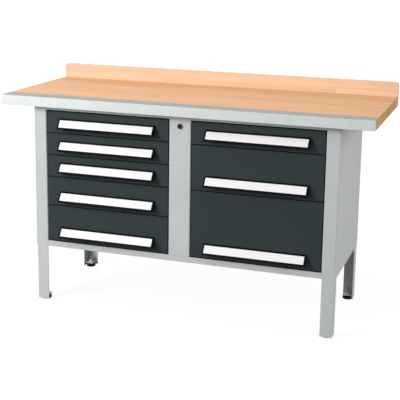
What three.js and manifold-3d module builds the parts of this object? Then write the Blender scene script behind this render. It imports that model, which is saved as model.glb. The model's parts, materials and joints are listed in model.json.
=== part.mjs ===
// Workshop bench: a folded sheet-steel frame with a beech worktop, two blocks of drawers on slides
// and one central lock in the stile between the blocks.
// Millimetres, +Z up, X along the bench, -Y towards the user. The origin is on the floor under the
// middle of the worktop.

import * as THREE from 'three';
import { mergeVertices } from 'three/addons/utils/BufferGeometryUtils.js';
import Module from 'manifold-3d';

const wasm = await Module();
wasm.setup();

// Worktop
const WORKTOP_LENGTH = 1500;
const WORKTOP_DEPTH = 600;
const WORKTOP_THICKNESS = 40;
const UPSTAND_HEIGHT = 60;
const UPSTAND_THICKNESS = 20;
const UPSTAND_REBATE = 12;
const UPSTAND_CORNER = 14;
const EDGE_SHEET = 2;
const EDGE_TOP_FLANGE = 70;
const FRONT_OVERHANG = 35;

// Frame
const BLOCK_OPENING = 530;
const CENTRE_STILE_WIDTH = 84;
const CENTRE_STILE_RETURN = 25;
const FRAME_DEPTH = 490;
const FLOOR_TO_RAIL = 235;
const BOTTOM_RAIL_HEIGHT = 24;
const TOP_RAIL_HEIGHT = 15;
const TOP_FLANGE = 40;
const LEG_FLANGE = 48;
const LEG_WALL = 3;
const SHEET = 1.5;
const SIDE_RETURN = 22;
const SIDE_REAR_GAP = 4;
const WALL_FLANGE = 28;

// Levelling feet
const FOOT_PAD_RADIUS = 20;
const FOOT_PAD_HEIGHT = 12;
const FOOT_PAD_CHAMFER = 2;
const FOOT_HUB_RADIUS = 10;
const FOOT_INSET = 25;
const STUD_RADIUS = 5;
const STUD_REACH = 20;
const LEG_BASE = 4;
const LEG_PLATE_RISE = 16;
const LEG_PLATE = 4;
const LEG_PLATE_SPAN = 42;
const WELD_NUT_RADIUS = 9.8;
const WELD_NUT_HEIGHT = 9;

// Drawers: heights from the top of each block, in pitch units
const PITCH_UNIT = 30;
const LEFT_UNITS = [3, 3, 3, 4, 5];
const RIGHT_UNITS = [3, 6, 9];
const BLOCK_CLEARANCE = 3;
const FRONT_GAP = 4;
const FRONT_SIDE_GAP = 6;
const FRONT_FOLD = 20;
const FRONT_SHEET = 1.2;
const TRAY_SHEET = 1;
const TRAY_RISE = 6;
const TRAY_HEADROOM = 26;
const TRAY_REAR_GAP = 30;

// Slides: a fixed channel on the runner wall and a smaller channel on the tray, one inside the other
const SLIDE_SPACE = 16;
const SLIDE_HEIGHT = 32;
const SLIDE_SHEET = 1.2;
const SLIDE_FLANGE = 11;
const SLIDE_RISE = 28;
const SLIDE_REAR_GAP = 6;
const WELD_DEPTH = 0.6;

// Handles
const HANDLE_INSET = 61;
const HANDLE_RISE = 28;
const HANDLE_WALL = 2.5;
const HANDLE_PLATE_DROP = 4;
const HANDLE_TOP_WALL = 6;
const HANDLE_CAP = 6;
const HANDLE_TOP_LIP = 6;
const HANDLE_BOTTOM_LIP = 8;
const LABEL_RISE = 27;
const LABEL_RUN = 18;
const LABEL_REACH = 7;
const LABEL_RECESS = 1.2;
const LABEL_SHEET = 0.8;

// Central lock
const LOCK_DROP = 27;
const LOCK_RING_RADIUS = 11;
const LOCK_RING_THICKNESS = 2.5;
const LOCK_BARREL_RADIUS = 9.5;
const LOCK_PLUG_RADIUS = 7;
const KEYWAY_WIDTH = 2.2;
const KEYWAY_HEIGHT = 8;
const KEYWAY_DEPTH = 7;
const CAM_THICKNESS = 2.5;
const CAM_THROW = 7;
const CAM_PIN_RADIUS = 2;
const PIN_PLAY = 0.5;
const BAR_WIDTH = 34;
const BAR_THICKNESS = 3;
const BAR_CLEARANCE = 2;
const BAR_END = 6;
const TONGUE_HEIGHT = 9;
const TONGUE_REACH = 12.5;
const TONGUE_PLAY = 0.5;
const CATCH_DROP = 12;
const CATCH_THICKNESS = 3;
const CATCH_PLAY = 1;

// Gaps and facets
const SEAT = 0.3;
const PAST = 5;
const ROUND_SIDES = 24;
const MERGE_TOLERANCE = 1e-4;

// Places that follow from the sizes above
const sum = (values) => values.reduce((total, value) => total + value, 0);
const frontY = FRONT_OVERHANG - WORKTOP_DEPTH / 2;
const rearY = frontY + FRAME_DEPTH;
const openingBase = FLOOR_TO_RAIL + BOTTOM_RAIL_HEIGHT;
const drawersTop = openingBase + BLOCK_CLEARANCE + PITCH_UNIT * Math.max(sum(LEFT_UNITS), sum(RIGHT_UNITS));
const openingTop = drawersTop + BLOCK_CLEARANCE;
const frameTop = openingTop + TOP_RAIL_HEIGHT;
const worktopTop = frameTop + WORKTOP_THICKNESS;
const stileHalf = CENTRE_STILE_WIDTH / 2;
const openingOuter = stileHalf + BLOCK_OPENING;
const legOuter = openingOuter + LEG_FLANGE;
const floorHalf = legOuter - LEG_WALL - SHEET;
const backPanelFront = rearY - LEG_WALL - SEAT - SHEET;
const panRear = backPanelFront - SEAT;
const wallRear = panRear - SHEET - SEAT;
const wallBase = FLOOR_TO_RAIL + SHEET + SEAT;
const wallTop = frameTop - SEAT - SHEET - SEAT;
const wallInset = SEAT + SHEET;
const trayInset = wallInset + SLIDE_SPACE;
const barFront = frontY + CENTRE_STILE_RETURN + BAR_CLEARANCE;
const barBack = barFront + BAR_THICKNESS;
const catchFront = barBack + CATCH_PLAY;
const slideFront = catchFront + CATCH_THICKNESS + CATCH_PLAY;
const trayRear = wallRear - TRAY_REAR_GAP;
const lockZ = openingTop - LOCK_DROP;
const camFront = barFront - PIN_PLAY - CAM_THICKNESS;
const barLift = CAM_THROW * Math.SQRT2;
const tongueTop = SLIDE_RISE - CATCH_DROP - CATCH_PLAY;

// Finishes
const FINISHES = {
  beech: { color: 0xd9b48c, roughness: 0.55, metalness: 0 },
  galvanised: { color: 0xc9cbcc, roughness: 0.4, metalness: 0.8 },
  lightGrey: { color: 0xcacccb, roughness: 0.5, metalness: 0.1 },
  anthracite: { color: 0x3c4146, roughness: 0.5, metalness: 0.1 },
  black: { color: 0x17181a, roughness: 0.6, metalness: 0 },
  white: { color: 0xf3f3f1, roughness: 0.45, metalness: 0 },
  zinc: { color: 0xb8babb, roughness: 0.35, metalness: 0.9 },
};

const bench = new THREE.Group();

function addPart(name, geometry, finish) {
  const mesh = new THREE.Mesh(geometry, new THREE.MeshStandardMaterial(FINISHES[finish]));
  mesh.name = name;
  bench.add(mesh);
}

// Solids, joined and cut
function solidOf(geometry) {
  const bare = geometry.clone();
  bare.deleteAttribute('normal');
  bare.deleteAttribute('uv');
  const merged = mergeVertices(bare, MERGE_TOLERANCE);
  return new wasm.Manifold(new wasm.Mesh({
    numProp: 3,
    vertProperties: merged.attributes.position.array,
    triVerts: new Uint32Array(merged.index.array),
  }));
}

function geometryOf(solid) {
  const mesh = solid.getMesh();
  const geometry = new THREE.BufferGeometry();
  geometry.setAttribute('position', new THREE.BufferAttribute(mesh.vertProperties, 3));
  geometry.setIndex(new THREE.BufferAttribute(mesh.triVerts, 1));
  geometry.computeVertexNormals();
  return geometry;
}

function joined(geometries) {
  const solids = geometries.map(solidOf);
  return geometryOf(solids.reduce((whole, piece) => whole.add(piece)));
}

function cut(geometry, tools) {
  return geometryOf(tools.map(solidOf).reduce((rest, tool) => rest.subtract(tool), solidOf(geometry)));
}

// Basic shapes, each given by its limits
function block(xLimits, yLimits, zLimits) {
  const limits = [xLimits, yLimits, zLimits];
  const sizes = limits.map(([a, b]) => Math.abs(b - a));
  const middles = limits.map(([a, b]) => (a + b) / 2);
  return new THREE.BoxGeometry(...sizes).translate(...middles);
}

function extruded(shape, depth) {
  return new THREE.ExtrudeGeometry(shape, { depth, bevelEnabled: false, curveSegments: ROUND_SIDES / 4 });
}

// A shape drawn in Y and Z, run along X
function alongX(shape, [x0, x1]) {
  const turn = new THREE.Matrix4().makeBasis(
    new THREE.Vector3(0, 1, 0),
    new THREE.Vector3(0, 0, 1),
    new THREE.Vector3(1, 0, 0),
  );
  return extruded(shape, x1 - x0).applyMatrix4(turn).translate(x0, 0, 0);
}

// A shape drawn in X and Z, run along Y
function alongY(shape, [y0, y1]) {
  const turn = new THREE.Matrix4().makeBasis(
    new THREE.Vector3(1, 0, 0),
    new THREE.Vector3(0, 0, 1),
    new THREE.Vector3(0, -1, 0),
  );
  return extruded(shape, y1 - y0).applyMatrix4(turn).translate(0, y1, 0);
}

// A shape drawn in X and Y, run along Z
function alongZ(shape, [z0, z1]) {
  return extruded(shape, z1 - z0).translate(0, 0, z0);
}

function outline(points) {
  return new THREE.Shape(points.map(([x, y]) => new THREE.Vector2(x, y)));
}

// The section of a folded sheet: its face follows the path, and the sheet lies to the left of it,
// or to the right when the thickness is negative
function foldedSheet(path, thickness) {
  const points = path.map(([x, y]) => new THREE.Vector2(x, y));
  const normals = points.slice(1).map((point, i) => {
    const along = point.clone().sub(points[i]).normalize();
    return new THREE.Vector2(-along.y, along.x);
  });
  const back = points.map((point, i) => {
    const before = normals[Math.max(i - 1, 0)];
    const after = normals[Math.min(i, normals.length - 1)];
    const mitre = before.clone().add(after).multiplyScalar(thickness / (1 + before.dot(after)));
    return point.clone().add(mitre);
  });
  return new THREE.Shape([...points, ...back.reverse()]);
}

function roundRod(radius, [y0, y1], x, z) {
  return new THREE.CylinderGeometry(radius, radius, y1 - y0, ROUND_SIDES).translate(x, (y0 + y1) / 2, z);
}

// A revolved profile of radius and height, on the Z axis or turned on to the Y axis
function revolved(profile) {
  return new THREE.LatheGeometry(profile.map(([r, h]) => new THREE.Vector2(r, h)), ROUND_SIDES);
}

// Worktop
function worktop() {
  const woodFront = EDGE_SHEET + SEAT - WORKTOP_DEPTH / 2;
  const rebateRear = EDGE_TOP_FLANGE + SEAT - WORKTOP_DEPTH / 2;
  const rebateFloor = worktopTop - EDGE_SHEET - SEAT;
  const upstandFront = WORKTOP_DEPTH / 2 - UPSTAND_THICKNESS - SEAT;
  const upstandFloor = worktopTop - UPSTAND_REBATE - SEAT;
  const section = outline([
    [woodFront, frameTop],
    [WORKTOP_DEPTH / 2, frameTop],
    [WORKTOP_DEPTH / 2, upstandFloor],
    [upstandFront, upstandFloor],
    [upstandFront, worktopTop],
    [rebateRear, worktopTop],
    [rebateRear, rebateFloor],
    [woodFront, rebateFloor],
  ]);
  return alongX(section, [-WORKTOP_LENGTH / 2, WORKTOP_LENGTH / 2]);
}

function frontEdgeProfile() {
  const front = -WORKTOP_DEPTH / 2;
  const path = [[front, frameTop], [front, worktopTop], [front + EDGE_TOP_FLANGE, worktopTop]];
  return alongX(foldedSheet(path, -EDGE_SHEET), [-WORKTOP_LENGTH / 2, WORKTOP_LENGTH / 2]);
}

function rearUpstand() {
  const half = WORKTOP_LENGTH / 2;
  const base = worktopTop - UPSTAND_REBATE;
  const cornerX = half - UPSTAND_CORNER;
  const cornerZ = worktopTop + UPSTAND_HEIGHT - UPSTAND_CORNER;
  const face = new THREE.Shape([new THREE.Vector2(-half, base), new THREE.Vector2(half, base)]);
  face.absarc(cornerX, cornerZ, UPSTAND_CORNER, 0, Math.PI / 2);
  face.absarc(-cornerX, cornerZ, UPSTAND_CORNER, Math.PI / 2, Math.PI);
  return alongY(face, [WORKTOP_DEPTH / 2 - UPSTAND_THICKNESS, WORKTOP_DEPTH / 2]);
}

// Legs and feet: side is -1 on the left and 1 on the right, end is -1 at the front and 1 at the rear
function legCorner(side, end) {
  return [side * legOuter, end < 0 ? frontY : rearY];
}

function footCentre(side, end) {
  const [x, y] = legCorner(side, end);
  return [x - side * FOOT_INSET, y - end * FOOT_INSET];
}

function leg(side, end) {
  const [x, y] = legCorner(side, end);
  const [footX, footY] = footCentre(side, end);
  const angle = foldedSheet(
    [[x - side * LEG_FLANGE, y], [x, y], [x, y - end * LEG_FLANGE]],
    -side * end * LEG_WALL,
  );
  const plateTop = LEG_PLATE_RISE + LEG_PLATE;
  const plate = block(
    [x - side * LEG_PLATE_SPAN, x - side * LEG_WALL / 2],
    [y - end * LEG_PLATE_SPAN, y - end * LEG_WALL / 2],
    [LEG_PLATE_RISE, plateTop],
  );
  const nutHeight = WELD_NUT_HEIGHT + LEG_PLATE / 2;
  const nut = new THREE.CylinderGeometry(WELD_NUT_RADIUS, WELD_NUT_RADIUS, nutHeight, 6)
    .rotateX(Math.PI / 2)
    .translate(footX, footY, plateTop + WELD_NUT_HEIGHT - nutHeight / 2);
  const hole = new THREE.CylinderGeometry(STUD_RADIUS + SEAT, STUD_RADIUS + SEAT, 1, ROUND_SIDES)
    .rotateX(Math.PI / 2)
    .scale(1, 1, LEG_PLATE + WELD_NUT_HEIGHT + 2 * PAST)
    .translate(footX, footY, plateTop);
  return cut(joined([alongZ(angle, [LEG_BASE, frameTop - SEAT]), plate, nut]), [hole]);
}

function foot(side, end) {
  const [x, y] = footCentre(side, end);
  const hubTop = LEG_PLATE_RISE - SEAT;
  const studTop = LEG_PLATE_RISE + LEG_PLATE + WELD_NUT_HEIGHT + STUD_REACH;
  const profile = [
    [0, 0],
    [FOOT_PAD_RADIUS - FOOT_PAD_CHAMFER, 0],
    [FOOT_PAD_RADIUS, FOOT_PAD_CHAMFER],
    [FOOT_PAD_RADIUS, FOOT_PAD_HEIGHT - FOOT_PAD_CHAMFER],
    [FOOT_PAD_RADIUS - FOOT_PAD_CHAMFER, FOOT_PAD_HEIGHT],
    [FOOT_HUB_RADIUS, FOOT_PAD_HEIGHT],
    [FOOT_HUB_RADIUS, hubTop],
    [STUD_RADIUS, hubTop],
    [STUD_RADIUS, studTop],
    [0, studTop],
  ];
  return revolved(profile).rotateX(Math.PI / 2).translate(x, y, 0);
}

// Frame sheets
function sidePanel(side) {
  const outer = side * (legOuter + SEAT + SHEET);
  const base = FLOOR_TO_RAIL - SEAT - SHEET;
  const section = foldedSheet(
    [[outer - side * SIDE_RETURN, base], [outer, base], [outer, frameTop - SEAT]],
    side * SHEET,
  );
  const legRoom = [-1, 1].map((end) => {
    const [x, y] = legCorner(side, end);
    return block(
      [x - side * LEG_FLANGE, x + side * SEAT / 2],
      [y + end * PAST, y - end * (LEG_FLANGE + SEAT)],
      [base - PAST, FLOOR_TO_RAIL],
    );
  });
  return cut(alongY(section, [frontY, rearY - SIDE_REAR_GAP]), legRoom);
}

function centreStile() {
  const rear = frontY + CENTRE_STILE_RETURN;
  const section = foldedSheet(
    [[-stileHalf, rear], [-stileHalf, frontY], [stileHalf, frontY], [stileHalf, rear]],
    SHEET,
  );
  const lockHole = roundRod(LOCK_BARREL_RADIUS + SEAT, [frontY - PAST, frontY + SHEET + PAST], 0, lockZ);
  return cut(alongZ(section, [openingBase + SEAT, openingTop - SEAT]), [lockHole]);
}

function topRail() {
  const top = frameTop - SEAT;
  const section = foldedSheet([[frontY, openingTop], [frontY, top], [frontY + TOP_FLANGE, top]], -SHEET);
  return alongX(section, [SEAT - openingOuter, openingOuter - SEAT]);
}

function bottomPan() {
  const section = foldedSheet(
    [[frontY, openingBase], [frontY, FLOOR_TO_RAIL], [panRear, FLOOR_TO_RAIL], [panRear, openingBase]],
    SHEET,
  );
  const legRoom = [-1, 1].map((side) => block(
    [side * (openingOuter - SEAT), side * (floorHalf + PAST)],
    [frontY - PAST, frontY + LEG_WALL + SEAT],
    [FLOOR_TO_RAIL - PAST, openingBase + PAST],
  ));
  return cut(alongX(section, [-floorHalf, floorHalf]), legRoom);
}

function backPanel() {
  const rear = backPanelFront + SHEET;
  const top = frameTop - SEAT;
  const section = foldedSheet([[rear, FLOOR_TO_RAIL], [rear, top], [rear - TOP_FLANGE, top]], SHEET);
  return alongX(section, [-floorHalf, floorHalf]);
}

// Drawers of one block, from the top down, each with the height of its pitch and its lowest point
function drawersOf(units) {
  const heights = units.map((count) => count * PITCH_UNIT);
  return heights.map((height, i) => ({ height, base: drawersTop - sum(heights.slice(0, i + 1)) }));
}

const BLOCKS = [
  { name: 'left', side: -1, drawers: drawersOf(LEFT_UNITS) },
  { name: 'right', side: 1, drawers: drawersOf(RIGHT_UNITS) },
];

// Runner walls. A channel is drawn from its web at x, with its flanges pointing in the given direction.
function channel(x, direction, flange, [z0, z1]) {
  const tip = x + direction * flange;
  return foldedSheet([[tip, z1], [x, z1], [x, z0], [tip, z0]], direction * SLIDE_SHEET);
}

function fixedSlide(faceX, direction, base) {
  const room = SEAT + SLIDE_SHEET;
  const zLimits = [base + SLIDE_RISE - room, base + SLIDE_RISE + SLIDE_HEIGHT + room];
  const section = channel(faceX - direction * WELD_DEPTH, direction, SLIDE_FLANGE + WELD_DEPTH, zLimits);
  return alongY(section, [slideFront, wallRear - SLIDE_REAR_GAP]);
}

function outerWall({ side, drawers }) {
  const face = side * (openingOuter - wallInset);
  const front = frontY + LEG_WALL + SEAT;
  const tip = face + side * WALL_FLANGE;
  const path = [[tip, front], [face, front], [face, wallRear], [tip, wallRear]];
  const section = foldedSheet(path, -side * SHEET);
  const slides = drawers.map(({ base }) => fixedSlide(face, -side, base));
  return joined([alongZ(section, [wallBase, wallTop]), ...slides]);
}

function innerWall({ side, drawers }) {
  const face = side * (stileHalf + wallInset);
  const tip = face - side * WALL_FLANGE;
  const section = foldedSheet([[face, frontY + LEG_WALL], [face, wallRear], [tip, wallRear]], side * SHEET);
  const slides = drawers.map(({ base }) => fixedSlide(face, side, base));
  const slots = drawers.map(({ base }) => block(
    [face - side * (SHEET + PAST), face + side * PAST],
    [barFront - TONGUE_PLAY, barBack + TONGUE_PLAY],
    [base + tongueTop - TONGUE_HEIGHT - TONGUE_PLAY, base + tongueTop + barLift + TONGUE_PLAY],
  ));
  return cut(joined([alongZ(section, [wallBase, wallTop]), ...slides]), slots);
}

// Drawers
function frontPanel({ side }, { base, height }) {
  const xLimits = [side * (stileHalf + FRONT_SIDE_GAP), side * (openingOuter - FRONT_SIDE_GAP)];
  xLimits.sort((a, b) => a - b);
  const zLimits = [base + FRONT_GAP / 2, base + height - FRONT_GAP / 2];
  const inside = ([a, b]) => [a + FRONT_SHEET, b - FRONT_SHEET];
  const hollow = block(
    inside(xLimits),
    [frontY + FRONT_SHEET, frontY + FRONT_FOLD + PAST],
    inside(zLimits),
  );
  return cut(block(xLimits, [frontY, frontY + FRONT_FOLD], zLimits), [hollow]);
}

function tray({ side }, { base, height }) {
  const innerX = stileHalf + trayInset;
  const outerX = openingOuter - trayInset;
  const yLimits = [frontY + FRONT_SHEET + SEAT, trayRear];
  const zLimits = [base + TRAY_RISE, base + height - TRAY_HEADROOM];
  const shell = cut(block([side * innerX, side * outerX], yLimits, zLimits), [block(
    [side * (innerX + TRAY_SHEET), side * (outerX - TRAY_SHEET)],
    [yLimits[0] + TRAY_SHEET, yLimits[1] - TRAY_SHEET],
    [zLimits[0] + TRAY_SHEET, zLimits[1] + PAST],
  )]);
  const slideZ = [base + SLIDE_RISE, base + SLIDE_RISE + SLIDE_HEIGHT];
  const slides = [[innerX, -side], [outerX, side]].map(([x, direction]) => alongY(
    channel(side * x - direction * WELD_DEPTH, direction, SLIDE_FLANGE + WELD_DEPTH, slideZ),
    [catchFront, trayRear - SLIDE_REAR_GAP],
  ));
  const lockCatch = block(
    [side * (innerX - SLIDE_FLANGE), side * (innerX + WELD_DEPTH)],
    [catchFront, catchFront + CATCH_THICKNESS],
    [slideZ[0] - CATCH_DROP, slideZ[0] + SLIDE_SHEET / 2],
  );
  return joined([shell, ...slides, lockCatch]);
}

// Handles: a sloping wall with a recess for the label, hung from a back plate and open below for the
// fingers. Points on the slope are given along it from the label's lower edge, and out from its face.
const slopeLength = Math.hypot(LABEL_RUN, LABEL_RISE);

function slopePoint(base, along, out) {
  const [up, forward] = [LABEL_RISE / slopeLength, LABEL_RUN / slopeLength];
  const reach = LABEL_REACH + LABEL_RUN - forward * along + up * out;
  return [frontY - reach, base + HANDLE_RISE + up * along + forward * out];
}

function handleLimits({ side }) {
  const limits = [side * (stileHalf + HANDLE_INSET), side * (openingOuter - HANDLE_INSET)];
  return limits.sort((a, b) => a - b);
}

function handle(drawerBlock, { base }) {
  const [x0, x1] = handleLimits(drawerBlock);
  const back = frontY - SEAT;
  const plate = back - HANDLE_WALL;
  const plateBase = base + HANDLE_RISE - HANDLE_PLATE_DROP;
  const top = base + HANDLE_RISE + LABEL_RISE + HANDLE_TOP_LIP;
  const gripTop = top - HANDLE_TOP_WALL;
  const gripAlong = (gripTop - slopePoint(base, 0, -HANDLE_WALL)[1]) * slopeLength / LABEL_RISE;
  const outside = [
    [back, plateBase],
    [back, top],
    slopePoint(base, slopeLength + HANDLE_TOP_LIP, LABEL_RECESS),
  ];
  const lip = [
    slopePoint(base, -HANDLE_BOTTOM_LIP, LABEL_RECESS),
    slopePoint(base, -HANDLE_BOTTOM_LIP, -HANDLE_WALL),
  ];
  const section = outline([
    ...outside,
    slopePoint(base, slopeLength, LABEL_RECESS),
    slopePoint(base, slopeLength, 0),
    slopePoint(base, 0, 0),
    slopePoint(base, 0, LABEL_RECESS),
    ...lip,
    slopePoint(base, gripAlong, -HANDLE_WALL),
    [plate, gripTop],
    [plate, plateBase],
  ]);
  const cap = outline([...outside, ...lip]);
  return joined([
    alongX(section, [x0 + HANDLE_CAP / 2, x1 - HANDLE_CAP / 2]),
    alongX(cap, [x0, x0 + HANDLE_CAP]),
    alongX(cap, [x1 - HANDLE_CAP, x1]),
  ]);
}

function label(drawerBlock, { base }) {
  const [x0, x1] = handleLimits(drawerBlock);
  const section = outline([
    slopePoint(base, SEAT, SEAT),
    slopePoint(base, slopeLength - SEAT, SEAT),
    slopePoint(base, slopeLength - SEAT, SEAT + LABEL_SHEET),
    slopePoint(base, SEAT, SEAT + LABEL_SHEET),
  ]);
  return alongX(section, [x0 + HANDLE_CAP + SEAT, x1 - HANDLE_CAP - SEAT]);
}

// Central lock: the plug turns the cam, whose pin lifts the bar, and the bar's tongues rise in front
// of the catches on the trays
const pinX = CAM_THROW * Math.SQRT1_2;
const pinZ = lockZ - CAM_THROW * Math.SQRT1_2;

function onLockAxis(geometry) {
  return geometry.translate(0, 0, lockZ);
}

function lockHousing() {
  const bore = LOCK_PLUG_RADIUS + SEAT;
  const front = frontY - LOCK_RING_THICKNESS;
  const seat = frontY - SEAT;
  const rear = camFront - SEAT - CATCH_PLAY;
  return onLockAxis(revolved([
    [bore, front],
    [LOCK_RING_RADIUS, front],
    [LOCK_RING_RADIUS, seat],
    [LOCK_BARREL_RADIUS, seat],
    [LOCK_BARREL_RADIUS, rear],
    [bore, rear],
    [bore, front],
  ]));
}

function lockPlug() {
  const front = frontY - LOCK_RING_THICKNESS + SEAT;
  const body = roundRod(LOCK_PLUG_RADIUS, [front, camFront - SEAT], 0, lockZ);
  const keyway = block(
    [-KEYWAY_WIDTH / 2, KEYWAY_WIDTH / 2],
    [front - PAST, front + KEYWAY_DEPTH],
    [lockZ - KEYWAY_HEIGHT / 2, lockZ + KEYWAY_HEIGHT / 2],
  );
  return cut(body, [keyway]);
}

function lockCam() {
  const middle = Math.hypot(pinX, lockZ - pinZ) / 2;
  const arm = new THREE.Shape();
  arm.absarc(0, lockZ, LOCK_PLUG_RADIUS, Math.PI / 4, Math.PI * 5 / 4);
  arm.absarc(pinX, pinZ, CAM_PIN_RADIUS + middle / 2, Math.PI * 5 / 4, Math.PI * 9 / 4);
  const pin = roundRod(CAM_PIN_RADIUS, [camFront + CAM_THICKNESS / 2, barBack + CATCH_PLAY], pinX, pinZ);
  return joined([alongY(arm, [camFront, camFront + CAM_THICKNESS]), pin]);
}

function lockBar() {
  const tongueTip = stileHalf + wallInset + TONGUE_REACH;
  const tongues = ({ side, drawers }) => drawers.flatMap(({ base }) => {
    const top = base + tongueTop;
    const low = top - TONGUE_HEIGHT;
    const root = side * BAR_WIDTH / 2;
    const tip = side * tongueTip;
    return [[root, top], [tip, top], [tip, low], [root, low]];
  });
  const [left, right] = BLOCKS.map(tongues);
  const slotHalf = CAM_PIN_RADIUS + PIN_PLAY;
  const barTop = pinZ + slotHalf + BAR_END;
  const barBase = openingBase + BLOCK_CLEARANCE + tongueTop - TONGUE_HEIGHT - BAR_END;
  const section = outline([
    [BAR_WIDTH / 2, barTop],
    ...right,
    [BAR_WIDTH / 2, barBase],
    [-BAR_WIDTH / 2, barBase],
    ...left.reverse(),
    [-BAR_WIDTH / 2, barTop],
  ]);
  section.holes.push(outline([
    [pinX - slotHalf, pinZ - slotHalf],
    [CAM_THROW + slotHalf, pinZ - slotHalf],
    [CAM_THROW + slotHalf, pinZ + slotHalf],
    [pinX - slotHalf, pinZ + slotHalf],
  ]));
  return alongY(section, [barFront, barBack]);
}

// Assembly
addPart('worktop', worktop(), 'beech');
addPart('front_edge_profile', frontEdgeProfile(), 'galvanised');
addPart('rear_upstand', rearUpstand(), 'beech');

for (const [sideName, side] of [['left', -1], ['right', 1]]) {
  for (const [endName, end] of [['front', -1], ['rear', 1]]) {
    addPart(`leg_${endName}_${sideName}`, leg(side, end), 'lightGrey');
    addPart(`foot_${endName}_${sideName}`, foot(side, end), 'black');
  }
  addPart(`side_panel_${sideName}`, sidePanel(side), 'lightGrey');
}

addPart('centre_stile', centreStile(), 'lightGrey');
addPart('top_rail', topRail(), 'lightGrey');
addPart('bottom_pan', bottomPan(), 'lightGrey');
addPart('back_panel', backPanel(), 'lightGrey');

for (const drawerBlock of BLOCKS) {
  addPart(`runner_wall_${drawerBlock.name}_outer`, outerWall(drawerBlock), 'galvanised');
  addPart(`runner_wall_${drawerBlock.name}_inner`, innerWall(drawerBlock), 'galvanised');
  drawerBlock.drawers.forEach((drawer, i) => {
    const name = `drawer_${drawerBlock.name}_${i + 1}`;
    addPart(`${name}_tray`, tray(drawerBlock, drawer), 'anthracite');
    addPart(`${name}_front`, frontPanel(drawerBlock, drawer), 'anthracite');
    addPart(`${name}_handle`, handle(drawerBlock, drawer), 'black');
    addPart(`${name}_label`, label(drawerBlock, drawer), 'white');
  });
}

addPart('lock_housing', lockHousing(), 'zinc');
addPart('lock_plug', lockPlug(), 'zinc');
addPart('lock_cam', lockCam(), 'zinc');
addPart('lock_bar', lockBar(), 'zinc');

export default bench;
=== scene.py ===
"""Looks of the workshop bench: finishes, rounded edges, fasteners, studio and camera, around its solids."""

import json
import math
from fnmatch import fnmatch

import bmesh
import bpy
from mathutils import Matrix, Vector


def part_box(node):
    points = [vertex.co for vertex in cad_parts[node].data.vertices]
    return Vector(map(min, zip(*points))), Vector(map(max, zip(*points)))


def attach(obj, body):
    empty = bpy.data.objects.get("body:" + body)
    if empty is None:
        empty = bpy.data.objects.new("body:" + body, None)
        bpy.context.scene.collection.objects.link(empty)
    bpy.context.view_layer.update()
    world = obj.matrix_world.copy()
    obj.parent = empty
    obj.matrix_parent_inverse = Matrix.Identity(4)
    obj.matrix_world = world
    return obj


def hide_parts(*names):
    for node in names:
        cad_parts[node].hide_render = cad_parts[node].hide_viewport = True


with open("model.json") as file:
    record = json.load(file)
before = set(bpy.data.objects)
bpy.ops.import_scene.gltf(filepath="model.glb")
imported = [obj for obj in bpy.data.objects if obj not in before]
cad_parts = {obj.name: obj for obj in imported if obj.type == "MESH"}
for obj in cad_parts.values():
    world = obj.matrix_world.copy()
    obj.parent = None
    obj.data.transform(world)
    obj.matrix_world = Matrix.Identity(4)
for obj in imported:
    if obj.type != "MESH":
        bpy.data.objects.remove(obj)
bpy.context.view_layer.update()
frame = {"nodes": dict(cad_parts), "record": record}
nodes = frame["nodes"]
bodies = frame["record"]["behaviour"]["bodies"]

# Camera: its place in metres, its turn in radians, and its lens in pixels of the square image
IMAGE_SIDE = 400
CAMERA_PLACE = (1.2514, -3.7657, 1.4775)
CAMERA_YAW = -0.3224
CAMERA_PITCH = -0.2097
CAMERA_ROLL = 0.0146
CAMERA_FOCAL = 987.0
LENS_AXIS = (200.0, 150.0)
SENSOR_MM = 36.0

# Lamps: place and width in metres, power in watts, and whether glossy surfaces mirror the lamp
AIM = (0.0, 0.0, 0.5)
LAMPS = {
    "key_lamp": {"place": (-2.7, -3.1, 2.2), "power": 165.0, "width": 2.0, "mirrored": True},
    "fill_lamp": {"place": (4.4, -1.4, 2.2), "power": 78.0, "width": 2.6, "mirrored": True},
    "overhead_lamp": {"place": (0.2, -0.6, 4.6), "power": 45.0, "width": 3.2, "mirrored": True},
    "back_lamp": {"place": (-2.4, 4.4, 2.6), "power": 120.0, "width": 2.4, "mirrored": False},
}
AMBIENT = 0.28
WHITE = (1.0, 1.0, 1.0, 1.0)

# Floor: to the camera it looks pale, a little greyer within FLOOR_NEAR of the bench than past FLOOR_FAR
FLOOR_SIZE = 60.0
FLOOR_COLOUR = (0.12, 0.12, 0.12, 1.0)
FLOOR_ROUGHNESS = 0.9
FLOOR_NEAR, FLOOR_FAR = 1.2, 4.0
FLOOR_GLOW_NEAR, FLOOR_GLOW_FAR = 0.88, 0.98


# Node trees

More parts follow.
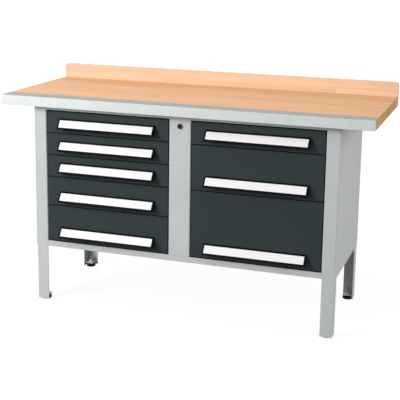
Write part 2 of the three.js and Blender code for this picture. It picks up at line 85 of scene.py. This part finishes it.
class Nodes:
    """A node tree, with short calls for the nodes used here."""

    # The colour sockets of a Mix node, by number because its other sockets have the same names
    MIX_FIRST, MIX_SECOND, MIX_RESULT = 6, 7, 2

    def __init__(self, tree):
        self.tree = tree

    def node(self, kind, **settings):
        made = self.tree.nodes.new(kind)
        for key, value in settings.items():
            setattr(made, key, value)
        return made

    def feed(self, target, socket, source):
        """Puts a number, colour or other node's output on a socket."""
        if isinstance(source, bpy.types.NodeSocket):
            self.tree.links.new(source, target.inputs[socket])
        else:
            target.inputs[socket].default_value = source

    def place(self):
        return self.node("ShaderNodeTexCoord").outputs["Object"]

    def facing(self):
        return self.node("ShaderNodeTexCoord").outputs["Normal"]

    def scaled(self, vector, factors):
        made = self.node("ShaderNodeVectorMath", operation="MULTIPLY")
        self.feed(made, 0, vector)
        self.feed(made, 1, factors)
        return made.outputs["Vector"]

    def shifted(self, vector, offset):
        made = self.node("ShaderNodeVectorMath", operation="ADD")
        self.feed(made, 0, vector)
        self.feed(made, 1, offset)
        return made.outputs["Vector"]

    def length(self, vector):
        made = self.node("ShaderNodeVectorMath", operation="LENGTH")
        self.feed(made, 0, vector)
        return made.outputs["Value"]

    def maths(self, operation, *values):
        made = self.node("ShaderNodeMath", operation=operation)
        for i, value in enumerate(values):
            self.feed(made, i, value)
        return made.outputs["Value"]

    def split(self, vector):
        made = self.node("ShaderNodeSeparateXYZ")
        self.feed(made, "Vector", vector)
        return made.outputs

    def joined(self, x, y, z):
        made = self.node("ShaderNodeCombineXYZ")
        for socket, value in zip("XYZ", (x, y, z)):
            self.feed(made, socket, value)
        return made.outputs["Vector"]

    def noise(self, vector, fineness, detail, roughness):
        """Noise about 0.5. The fineness, per metre, is one number or three for X, Y and Z."""
        if isinstance(fineness, tuple):
            vector = self.scaled(vector, fineness)
            fineness = 1.0
        made = self.node("ShaderNodeTexNoise")
        self.feed(made, "Vector", vector)
        self.feed(made, "Scale", fineness)
        self.feed(made, "Detail", detail)
        self.feed(made, "Roughness", roughness)
        return made.outputs["Fac"]

    def cell_colours(self, vector, fineness):
        """Irregular cells, each in a random colour."""
        made = self.node("ShaderNodeTexVoronoi")
        self.feed(made, "Vector", vector)
        self.feed(made, "Scale", fineness)
        return made.outputs["Color"]

    def chance(self, vector):
        """A random number from 0 to 1 for each vector."""
        made = self.node("ShaderNodeTexWhiteNoise")
        self.feed(made, "Vector", vector)
        return made.outputs["Value"]

    def spread(self, value, within=(0.0, 1.0), to=(0.0, 1.0)):
        """Stretches one range of values to another and holds what lies outside at the ends."""
        made = self.node("ShaderNodeMapRange")
        self.feed(made, "Value", value)
        for socket, number in zip(("From Min", "From Max", "To Min", "To Max"), (*within, *to)):
            self.feed(made, socket, number)
        return made.outputs["Result"]

    def mixed(self, share, first, second, blend="MIX"):
        """A colour mixed from two, each given as a tuple or as another node's output."""
        made = self.node("ShaderNodeMix", data_type="RGBA", blend_type=blend)
        self.feed(made, "Factor", share)
        for socket, colour in ((self.MIX_FIRST, first), (self.MIX_SECOND, second)):
            self.feed(made, socket, (*colour, 1.0) if isinstance(colour, tuple) else colour)
        return made.outputs[self.MIX_RESULT]

    def seen_directly(self):
        """1 where a ray comes from the camera, a mirror or glass, and 0 where it only carries light."""
        path = self.node("ShaderNodeLightPath").outputs
        camera_or_mirror = self.maths("MAXIMUM", path["Is Camera Ray"], path["Is Glossy Ray"])
        return self.maths("MAXIMUM", camera_or_mirror, path["Is Transmission Ray"])


class Finish(Nodes):
    """A material with one Principled shader. A socket's name is given with _ in place of spaces."""

    def __init__(self, name, **sockets):
        self.material = bpy.data.materials.new(name)
        self.material.use_nodes = True
        super().__init__(self.material.node_tree)
        self.shader = self.tree.nodes["Principled BSDF"]
        for socket, value in sockets.items():
            self.paint(socket.replace("_", " "), value)

    def paint(self, socket, source):
        self.feed(self.shader, socket, source)

    def bumped(self, height, strength, distance):
        made = self.node("ShaderNodeBump")
        self.feed(made, "Height", height)
        self.feed(made, "Strength", strength)
        self.feed(made, "Distance", distance)
        self.paint("Normal", made.outputs["Normal"])


def toned(colour, factor):
    """The colour, darker or lighter by a factor."""
    return tuple(factor * part for part in colour)


# Beech: sizes in metres, the fineness of its noises, and the seeds that set its staves apart
STAVE_WIDTH = 0.042
STAVE_LENGTH = 0.78
GLUE_LINE = 0.0007
GRAIN_FINENESS = (2.2, 70.0, 70.0)
FLECK_FINENESS = (90.0, 1500.0, 1500.0)
RING_FINENESS = (20.0, 260.0, 90.0)
ROW_SEEDS = (3.1, 0.7)
STAVE_SEED = 0.4
STAVE_SHIFT = (0.37, 0.73, 0.19)
END_PALE = (0.79, 0.465, 0.21)
END_DEEP = (0.595, 0.295, 0.116)
END_DULL = 0.28


def beech(name, pale, deep, across):
    """Oiled beech glued from staves along X, which lie side by side along the axis across, 1 or 2.

    The end grain, on faces across X, is duller than the rest and shows the growth rings.
    """
    wood = Finish(name, Specular_IOR_Level=0.3)
    place = wood.place()
    axes = wood.split(place)
    rows = wood.maths("DIVIDE", axes[across], STAVE_WIDTH)
    row = wood.maths("FLOOR", rows)
    row_start = wood.chance(wood.joined(row, *ROW_SEEDS))
    run = wood.maths("ADD", wood.maths("DIVIDE", axes[0], STAVE_LENGTH), row_start)
    stave = wood.joined(row, wood.maths("FLOOR", run), STAVE_SEED)
    tone = wood.chance(stave)
    stave_place = wood.shifted(place, wood.scaled(stave, STAVE_SHIFT))

    grain = wood.noise(stave_place, GRAIN_FINENESS, detail=4.0, roughness=0.55)
    colour = wood.mixed(wood.spread(grain, within=(0.25, 0.75)), pale, deep)
    red_and_blue = wood.spread(tone, to=(0.93, 1.06))
    green = wood.spread(tone, to=(0.95, 1.04))
    colour = wood.mixed(1.0, colour, wood.joined(red_and_blue, green, red_and_blue), "MULTIPLY")
    fleck = wood.noise(stave_place, FLECK_FINENESS, detail=1.0, roughness=0.4)
    fleck_share = wood.spread(fleck, within=(0.60, 0.74), to=(0.0, 0.22))
    colour = wood.mixed(fleck_share, colour, toned(deep, 0.62))
    seam = wood.maths("PINGPONG", rows, 0.5)
    seam_share = wood.spread(seam, within=(0.0, GLUE_LINE / STAVE_WIDTH), to=(0.16, 0.0))
    colour = wood.mixed(seam_share, colour, toned(deep, 0.5))

    rings = wood.noise(stave_place, RING_FINENESS, detail=3.0, roughness=0.6)
    end_colour = wood.mixed(wood.spread(rings, within=(0.3, 0.7)), END_PALE, END_DEEP)
    end_tint = wood.spread(tone, to=(0.82, 1.14))
    end_colour = wood.mixed(1.0, end_colour, wood.joined(end_tint, end_tint, end_tint), "MULTIPLY")
    end_share = wood.spread(wood.maths("ABSOLUTE", wood.split(wood.facing())[0]), within=(0.6, 0.8))

    wood.paint("Base Color", wood.mixed(end_share, colour, end_colour))
    polish = wood.spread(grain, within=(0.3, 0.7), to=(0.42, 0.56))
    wood.paint("Roughness", wood.maths("ADD", polish, wood.maths("MULTIPLY", end_share, END_DULL)))
    wood.bumped(wood.maths("SUBTRACT", grain, seam_share), strength=0.25, distance=0.0003)
    return wood.material


# Other finishes

def powder_coat(name, colour, roughness, gloss):
    """Powder coat: a fine orange-peel skin, with a little unevenness in shade and gloss."""
    coat = Finish(name, Specular_IOR_Level=gloss)
    place = coat.place()
    broad = coat.noise(place, fineness=5.0, detail=3.0, roughness=0.6)
    shade = coat.mixed(coat.spread(broad, within=(0.3, 0.7)), toned(colour, 0.95), colour)
    speck = coat.noise(place, fineness=4200.0, detail=1.0, roughness=0.5)
    speck_share = coat.spread(speck, within=(0.55, 0.75), to=(0.0, 0.12))
    coat.paint("Base Color", coat.mixed(speck_share, shade, toned(colour, 1.12)))
    coat.paint("Roughness", coat.spread(broad, within=(0.3, 0.7), to=(roughness - 0.05, roughness + 0.07)))
    peel = coat.noise(place, fineness=1400.0, detail=2.0, roughness=0.5)
    coat.bumped(peel, strength=0.12, distance=0.0002)
    return coat.material


def zinc_sheet(name, colour, metallic, roughness, painted_shade_from=None):
    """Galvanised sheet: faint spangles and fine rolling lines along X.

    Above a given height the sheet gets a painted shade: darker grey with streaks, standing in for the dim
    reflection that its top face shows.
    """
    zinc = Finish(name, Metallic=metallic)
    place = zinc.place()
    spangle = zinc.split(zinc.cell_colours(place, fineness=90.0))[0]
    rolled = zinc.noise(place, fineness=(6.0, 900.0, 900.0), detail=2.0, roughness=0.6)
    pattern = zinc.maths("ADD", zinc.maths("MULTIPLY", spangle, 0.5), zinc.maths("MULTIPLY", rolled, 0.5))
    shade = zinc.mixed(pattern, toned(colour, 0.9), colour)
    if painted_shade_from is not None:
        # Painted shade: above that height the colour turns darker grey with streaks, in place of the dim
        # reflection of the top face.
        painted_shade_top = zinc.maths("GREATER_THAN", zinc.split(place)[2], painted_shade_from)
        painted_shade_streaks = zinc.noise(place, fineness=(14.0, 60.0, 1.0), detail=4.0, roughness=0.6)
        shade = zinc.mixed(painted_shade_top, shade, zinc.mixed(painted_shade_streaks, toned(colour, 0.42), toned(colour, 0.54)))
    zinc.paint("Base Color", shade)
    zinc.paint("Roughness", zinc.spread(pattern, to=(roughness - 0.06, roughness + 0.08)))
    zinc.bumped(rolled, strength=0.06, distance=0.0001)
    return zinc.material


def moulded(name, colour, roughness, grain_fineness):
    """Moulded plastic or rubber with a fine eroded grain."""
    plastic = Finish(name, Specular_IOR_Level=0.04)
    place = plastic.place()
    broad = plastic.noise(place, fineness=12.0, detail=2.0, roughness=0.5)
    plastic.paint("Base Color", plastic.mixed(broad, toned(colour, 0.85), colour))
    grain = plastic.noise(place, grain_fineness, detail=2.0, roughness=0.6)
    gloss = plastic.spread(grain, within=(0.3, 0.7), to=(roughness - 0.06, roughness + 0.08))
    plastic.paint("Roughness", gloss)
    plastic.bumped(grain, strength=0.15, distance=0.0001)
    return plastic.material


def card(name, colour):
    """White card strip with a faint paper fibre."""
    paper = Finish(name, IOR=1.45)
    fibre = paper.noise(paper.place(), fineness=(400.0, 1500.0, 1500.0), detail=3.0, roughness=0.6)
    paper.paint("Base Color", paper.mixed(fibre, toned(colour, 0.97), colour))
    paper.paint("Roughness", paper.spread(fibre, to=(0.35, 0.5)))
    paper.bumped(fibre, strength=0.05, distance=0.0001)
    return paper.material


def plated(name, colour, roughness):
    """Plated metal with fine turning marks."""
    metal = Finish(name, Metallic=1.0)
    marks = metal.noise(metal.place(), fineness=(900.0, 60.0, 900.0), detail=2.0, roughness=0.5)
    metal.paint("Base Color", metal.mixed(marks, toned(colour, 0.86), colour))
    metal.paint("Roughness", metal.spread(marks, to=(roughness - 0.05, roughness + 0.1)))
    metal.bumped(marks, strength=0.08, distance=0.0001)
    return metal.material


# The finish of each material slot, and of the nodes and small parts that differ from their slot
# The steel edge's painted shade covers its top face, from just below the worktop's top.
TOP_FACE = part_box("worktop")[1][2]
PAINTED_SHADE_DEPTH = 0.001
FINISHES = {
    "beech": beech("beech_top", pale=(0.775, 0.44, 0.226), deep=(0.665, 0.337, 0.157), across=1),
    # Its top face carries a painted shade, darker grey than its front.
    "steel_edge": zinc_sheet(
        "edge_steel", (0.585, 0.62, 0.61), metallic=0.45, roughness=0.40, painted_shade_from=TOP_FACE - PAINTED_SHADE_DEPTH
    ),
    "light_grey_paint": powder_coat("light_grey_coat", (0.585, 0.61, 0.612), roughness=0.46, gloss=0.35),
    "galvanised_steel": zinc_sheet("slide_zinc", (0.52, 0.535, 0.545), metallic=0.85, roughness=0.38),
    "anthracite_paint": powder_coat("anthracite_coat", (0.0315, 0.0437, 0.0467), roughness=0.5, gloss=0.12),
    "black_plastic": moulded("handle_black", (0.005, 0.005, 0.0055), roughness=0.55, grain_fineness=2600.0),
    "white_label": card("label_white", (0.85, 0.85, 0.845)),
    "black_foot": moulded("foot_black", (0.016, 0.016, 0.017), roughness=0.55, grain_fineness=1800.0),
    "lock_metal": plated("lock_nickel", (0.70, 0.71, 0.72), roughness=0.24),
}
NODE_FINISHES = {
    # The upstand is the same beech as the top, coloured paler: painted light, for the stronger light its
    # upright face catches.
    "rear_upstand": beech("beech_upstand_painted_light", pale=(0.825, 0.59, 0.405), deep=(0.748, 0.502, 0.322), across=2),
    # The lock plug is coloured near black: painted shade, for the shade in the keyway.
    "lock_plug": plated("lock_plug_painted_shade", (0.016, 0.016, 0.017), roughness=0.45),
    # The nickel lock ring is coloured near black: painted shade, for the dark that the plated ring mirrors.
    "lock_housing": plated("lock_ring_painted_shade", (0.085, 0.085, 0.088), roughness=0.36),
}
STUD_ZINC = plated("stud_zinc", (0.30, 0.30, 0.31), roughness=0.42)
SCREW_ZINC = plated("screw_zinc", (0.60, 0.61, 0.63), roughness=0.34)


def dress_nodes():
    slots = {part["node"]: part["material_slot"] for part in frame["record"]["subparts"]}
    for name, node in nodes.items():
        node.data.materials.clear()
        node.data.materials.append(NODE_FINISHES.get(name, FINISHES[slots[name]]))


# Rounded edges on the solids, radii in metres
EDGE_RADII = {
    "worktop": 0.0015,
    "rear_upstand": 0.0025,
    "front_edge_profile": 0.0008,
    "leg_*": 0.0012,
    "drawer_*_front": 0.0005,
    "side_panel_*": 0.0005,
    "centre_stile": 0.0005,
    "bottom_pan": 0.0005,
}
WELD_DISTANCE = 1e-5
ROUNDING_STEPS = 2
ROUNDED_FROM = math.radians(30)


def round_edges():
    for name, node in nodes.items():
        for pattern, radius in EDGE_RADII.items():
            if not fnmatch(name, pattern):
                continue
            weld = node.modifiers.new("weld", "WELD")
            weld.merge_threshold = WELD_DISTANCE
            bevel = node.modifiers.new("bevel", "BEVEL")
            bevel.width = radius
            bevel.segments = ROUNDING_STEPS
            bevel.limit_method = "ANGLE"
            bevel.angle_limit = ROUNDED_FROM


# Small parts
SHARP_FROM = math.radians(35)


def ring(height, radius, sides, centre=(0.0, 0.0)):
    """Points on a level ring. The radius is a number, or a function of the angle."""
    points = []
    for i in range(sides):
        angle = math.tau * i / sides
        reach = radius(angle) if callable(radius) else radius
        points.append((centre[0] + reach * math.cos(angle), centre[1] + reach * math.sin(angle), height))
    return points


def stacked(name, stacks):
    """A mesh of closed bodies, each a stack of rings with a flat cap on its first and last ring."""
    made = bmesh.new()
    for rings in stacks:
        rows = [[made.verts.new(point) for point in points] for points in rings]
        for low, high in zip(rows, rows[1:]):
            for i in range(len(low)):
                j = (i + 1) % len(low)
                made.faces.new((low[i], low[j], high[j], high[i])).smooth = True
        made.faces.new(rows[0][::-1])
        made.faces.new(rows[-1])
    mesh = bpy.data.meshes.new(name)
    made.to_mesh(mesh)
    made.free()
    return mesh


def add_piece(name, stacks, finish, body):
    mesh = stacked(name, stacks)
    mesh.materials.append(finish)
    mesh.set_sharp_from_angle(angle=SHARP_FROM)
    piece = bpy.data.objects.new(name, mesh)
    bpy.context.scene.collection.objects.link(piece)
    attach(piece, body)
    return piece


# Levelling feet: a pad with a rounded rim, a ribbed wall and a hexagon on top, and a threaded stud
PAD_SIDES = 96
PAD_RADIUS = 0.0200
PAD_HEIGHT = 0.0120
PAD_ROUND = 0.0018
PAD_ROUND_STEPS = 3
RIB_COUNT = 32
RIB_DEPTH = 0.0007
RIB_INSET = 0.0026
HEXAGON_HALF_FLATS = 0.0085
HEXAGON_HEIGHT = 0.0037
HEXAGON_CHAMFER = 0.0005
STUD_SIDES = 24
STUD_RADIUS = 0.0050
STUD_CHAMFER = 0.0008
STUD_SEAT = 0.0007
THREAD_PITCH = 0.0015
THREAD_DEPTH = 0.0009
ROWS_PER_PITCH = 4


def ribbed(angle):
    return PAD_RADIUS - RIB_DEPTH * (0.5 + 0.5 * math.cos(RIB_COUNT * angle))


def hexagonal(angle):
    return HEXAGON_HALF_FLATS / math.cos(angle % (math.pi / 3) - math.pi / 6)


def threaded(height):
    """The thread's radius at one height, as a function of the angle."""
    def radius(angle):
        turn = (height / THREAD_PITCH - angle / math.tau) % 1.0
        return STUD_RADIUS - THREAD_DEPTH * abs(2.0 * turn - 1.0)
    return radius


def pad_outline():
    """Heights and radii of the pad's rings, from the floor up."""
    rim = []
    for i in range(PAD_ROUND_STEPS + 1):
        angle = math.pi / 2 * i / PAD_ROUND_STEPS
        rim.append((PAD_ROUND * (1 - math.cos(angle)), PAD_RADIUS - PAD_ROUND * (1 - math.sin(angle))))
    wall = [(RIB_INSET, ribbed), (PAD_HEIGHT - RIB_INSET, ribbed)]
    upper_rim = [(PAD_HEIGHT - height, radius) for height, radius in reversed(rim)]
    top = PAD_HEIGHT + HEXAGON_HEIGHT
    hexagon = [
        (PAD_HEIGHT, hexagonal),
        (top - HEXAGON_CHAMFER, hexagonal),
        (top, HEXAGON_HALF_FLATS - HEXAGON_CHAMFER),
    ]
    return rim + wall + upper_rim + hexagon


def stud_outline(top):
    """Heights and radii of the stud's rings, from inside the hexagon up to its chamfered end."""
    base = PAD_HEIGHT + HEXAGON_HEIGHT - STUD_SEAT
    shoulder = top - STUD_CHAMFER
    core = STUD_RADIUS - THREAD_DEPTH
    step = THREAD_PITCH / ROWS_PER_PITCH
    heights = [base + k * step for k in range(1, int((shoulder - base) / step))]
    thread = [(height, threaded(height)) for height in heights]
    return [(base, core), *thread, (shoulder, core), (top, core - STUD_CHAMFER)]


def add_foot(name):
    """A pad, which stands for the solid, and the stud that it turns with."""
    low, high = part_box(name)
    centre = ((low[0] + high[0]) / 2, (low[1] + high[1]) / 2)
    pad_rings = [ring(height, radius, PAD_SIDES, centre) for height, radius in pad_outline()]
    pad_name = name.replace("foot", "foot_pad")
    pad = add_piece(pad_name, [pad_rings], FINISHES["black_foot"], name)
    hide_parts(name)
    stud_rings = [ring(height, radius, STUD_SIDES, centre) for height, radius in stud_outline(high[2])]
    stud_name = name.replace("foot", "foot_stud")
    add_piece(stud_name, [stud_rings], STUD_ZINC, name)


# Screws seen from behind: their places and sizes in metres, and the shape of a head with a cross recess
LEG_SCREW_INSET = 0.024
LEG_SCREW_HEIGHTS = (0.29, 0.46, 0.63, 0.78)
LEG_SCREW_RADIUS = 0.005
LEG_SCREW_CROWN = 0.0026
UPSTAND_SCREW_PLACES = (-0.66, -0.33, 0.0, 0.33, 0.66)
UPSTAND_SCREW_RISE = 0.006
UPSTAND_SCREW_RADIUS = 0.0042
UPSTAND_SCREW_CROWN = 0.0004
HEAD_SIDES = 48
HEAD_STEPS = (1.0, 0.97, 0.9, 0.78, 0.66, 0.58, 0.5, 0.4, 0.3, 0.2, 0.1)
HEAD_SEAT = 0.0006
RECESS_REACH = 0.6
RECESS_HALF = 0.00055
RECESS_DEPTH = 0.0011


def screw_head(place, radius, crown):
    """Rings of a screw head that faces +Y, with its rim seated a little under the surface it is on."""
    def seen_from_behind(u, v, out):
        return (place[0] - u, place[1] + out, place[2] + v)

    rings = [[seen_from_behind(u, v, -HEAD_SEAT) for u, v, _ in ring(0.0, radius, HEAD_SIDES)]]
    for step in HEAD_STEPS:
        points = []
        for u, v, _ in ring(0.0, step * radius, HEAD_SIDES):
            out = crown * (1.0 - step ** 3)
            if step < RECESS_REACH and min(abs(u), abs(v)) < RECESS_HALF:
                out -= RECESS_DEPTH
            points.append(seen_from_behind(u, v, out))
        rings.append(points)
    return rings


def add_leg_screws():
    outer, back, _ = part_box("leg_rear_right")[1]
    across = outer - LEG_SCREW_INSET
    heads = [
        screw_head((side * across, back, height), LEG_SCREW_RADIUS, LEG_SCREW_CROWN)
        for side in (-1, 1) for height in LEG_SCREW_HEIGHTS
    ]
    add_piece("back_screws", heads, SCREW_ZINC, "frame")


def add_upstand_screws():
    low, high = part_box("rear_upstand")
    height = low[2] + UPSTAND_SCREW_RISE
    heads = [
        screw_head((x, high[1], height), UPSTAND_SCREW_RADIUS, UPSTAND_SCREW_CROWN)
        for x in UPSTAND_SCREW_PLACES
    ]
    add_piece("upstand_screws", heads, SCREW_ZINC, "frame")


# Studio

def add_lamp(name, place, power, width, mirrored):
    lamp = bpy.data.objects.new(name, bpy.data.lights.new(name, "AREA"))
    lamp.data.energy = power
    lamp.data.size = width
    lamp.visible_glossy = mirrored
    lamp.location = place
    lamp.rotation_euler = (Vector(AIM) - Vector(place)).to_track_quat("-Z", "Y").to_euler()
    bpy.context.scene.collection.objects.link(lamp)


def add_world():
    """Even light from all around, seen as white."""
    world = bpy.data.worlds.new("studio")
    world.use_nodes = True
    bpy.context.scene.world = world
    sky = Nodes(world.node_tree)
    background = sky.tree.nodes["Background"]
    sky.feed(background, "Color", WHITE)
    sky.feed(background, "Strength", sky.spread(sky.seen_directly(), to=(AMBIENT, 1.0)))


def add_floor():
    pale = Finish("floor_pale", Base_Color=FLOOR_COLOUR, Roughness=FLOOR_ROUGHNESS, Emission_Color=WHITE)
    away = pale.length(pale.place())
    glow = pale.spread(away, within=(FLOOR_NEAR, FLOOR_FAR), to=(FLOOR_GLOW_NEAR, FLOOR_GLOW_FAR))
    pale.paint("Emission Strength", pale.maths("MULTIPLY", pale.seen_directly(), glow))
    half = FLOOR_SIZE / 2
    corners = [(-half, -half, 0.0), (half, -half, 0.0), (half, half, 0.0), (-half, half, 0.0)]
    mesh = bpy.data.meshes.new("floor")
    mesh.from_pydata(corners, [], [(0, 1, 2, 3)])
    mesh.materials.append(pale.material)
    floor = bpy.data.objects.new("floor", mesh)
    bpy.context.scene.collection.objects.link(floor)


def add_camera():
    yaw, pitch, roll = CAMERA_YAW, CAMERA_PITCH, CAMERA_ROLL
    forward = Vector((math.sin(yaw) * math.cos(pitch), math.cos(yaw) * math.cos(pitch), math.sin(pitch)))
    level = Vector((math.cos(yaw), -math.sin(yaw), 0.0))
    upright = level.cross(forward)
    right = level * math.cos(roll) + upright * math.sin(roll)
    up = upright * math.cos(roll) - level * math.sin(roll)
    camera = bpy.data.objects.new("camera", bpy.data.cameras.new("camera"))
    camera.data.sensor_width = SENSOR_MM
    camera.data.lens = CAMERA_FOCAL * SENSOR_MM / IMAGE_SIDE
    camera.data.shift_x = (IMAGE_SIDE / 2 - LENS_AXIS[0]) / IMAGE_SIDE
    camera.data.shift_y = (LENS_AXIS[1] - IMAGE_SIDE / 2) / IMAGE_SIDE
    turn = Matrix((right, up, -forward)).transposed().to_4x4()
    camera.matrix_world = Matrix.Translation(CAMERA_PLACE) @ turn
    bpy.context.scene.collection.objects.link(camera)
    bpy.context.scene.camera = camera


add_camera()
add_world()
add_floor()
for lamp_name, lamp in LAMPS.items():
    add_lamp(lamp_name, **lamp)
dress_nodes()
round_edges()
for body in bodies:
    if body.startswith("foot_"):
        add_foot(body)
add_leg_screws()
add_upstand_screws()
bpy.context.scene.view_settings.view_transform = "Standard"
